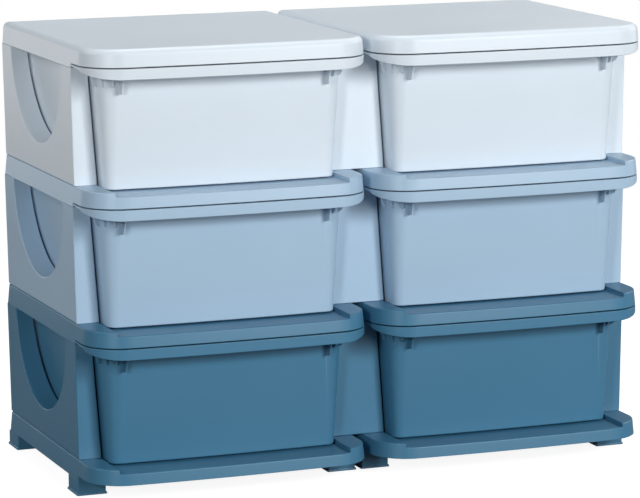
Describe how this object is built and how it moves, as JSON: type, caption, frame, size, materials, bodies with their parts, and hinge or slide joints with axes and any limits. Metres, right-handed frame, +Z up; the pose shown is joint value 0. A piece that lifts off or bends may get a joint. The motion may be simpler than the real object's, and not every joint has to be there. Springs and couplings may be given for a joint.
{
  "type": "drawer chest",
  "caption": "Free-standing moulded-plastic chest of pull-out drawers in side-by-side columns, with grip lips, recessed shelves, round hand holes in the sides and short square feet.",
  "frame": {"origin": "middle of the floor area under the chest, at floor level", "axes": "+X to the right as seen from the front, +Y to the back, +Z up"},
  "size_m": [0.7416, 0.3832, 0.5544],
  "materials": {
    "pale_plastic": "satin, very pale blue",
    "mid_plastic": "satin, light steel blue",
    "deep_plastic": "satin, deep steel blue"
  },
  "bodies": {
    "cabinet": {"lid_left": "pale_plastic", "lid_right": "pale_plastic", "shelf_upper_left": "mid_plastic", "shelf_upper_right": "mid_plastic", "shelf_lower_left": "deep_plastic", "shelf_lower_right": "deep_plastic", "base_left": "deep_plastic", "base_right": "deep_plastic", "foot_left_front_outer": "deep_plastic", "foot_left_front_inner": "deep_plastic", "foot_left_rear_outer": "deep_plastic", "foot_left_rear_inner": "deep_plastic", "foot_right_front_outer": "deep_plastic", "foot_right_front_inner": "deep_plastic", "foot_right_rear_outer": "deep_plastic", "foot_right_rear_inner": "deep_plastic", "side_panel_left_top": "pale_plastic", "side_panel_right_top": "pale_plastic", "side_panel_left_middle": "mid_plastic", "side_panel_right_middle": "mid_plastic", "side_panel_left_bottom": "deep_plastic", "side_panel_right_bottom": "deep_plastic", "centre_panel_top": "pale_plastic", "centre_panel_middle": "mid_plastic", "centre_panel_bottom": "deep_plastic"},
    "drawer_left_top": {"drawer_left_top": "pale_plastic"},
    "drawer_right_top": {"drawer_right_top": "pale_plastic"},
    "drawer_left_middle": {"drawer_left_middle": "mid_plastic"},
    "drawer_right_middle": {"drawer_right_middle": "mid_plastic"},
    "drawer_left_bottom": {"drawer_left_bottom": "deep_plastic"},
    "drawer_right_bottom": {"drawer_right_bottom": "deep_plastic"}
  },
  "joints": [
    {"name": "drawer_left_top_slide", "type": "slide", "parent": "cabinet", "child": "drawer_left_top", "axis": [0, -1, 0], "range_m": [0, 0.24]},
    {"name": "drawer_right_top_slide", "type": "slide", "parent": "cabinet", "child": "drawer_right_top", "axis": [0, -1, 0], "range_m": [0, 0.24]},
    {"name": "drawer_left_middle_slide", "type": "slide", "parent": "cabinet", "child": "drawer_left_middle", "axis": [0, -1, 0], "range_m": [0, 0.24]},
    {"name": "drawer_right_middle_slide", "type": "slide", "parent": "cabinet", "child": "drawer_right_middle", "axis": [0, -1, 0], "range_m": [0, 0.24]},
    {"name": "drawer_left_bottom_slide", "type": "slide", "parent": "cabinet", "child": "drawer_left_bottom", "axis": [0, -1, 0], "range_m": [0, 0.24]},
    {"name": "drawer_right_bottom_slide", "type": "slide", "parent": "cabinet", "child": "drawer_right_bottom", "axis": [0, -1, 0], "range_m": [0, 0.24]}
  ]
}
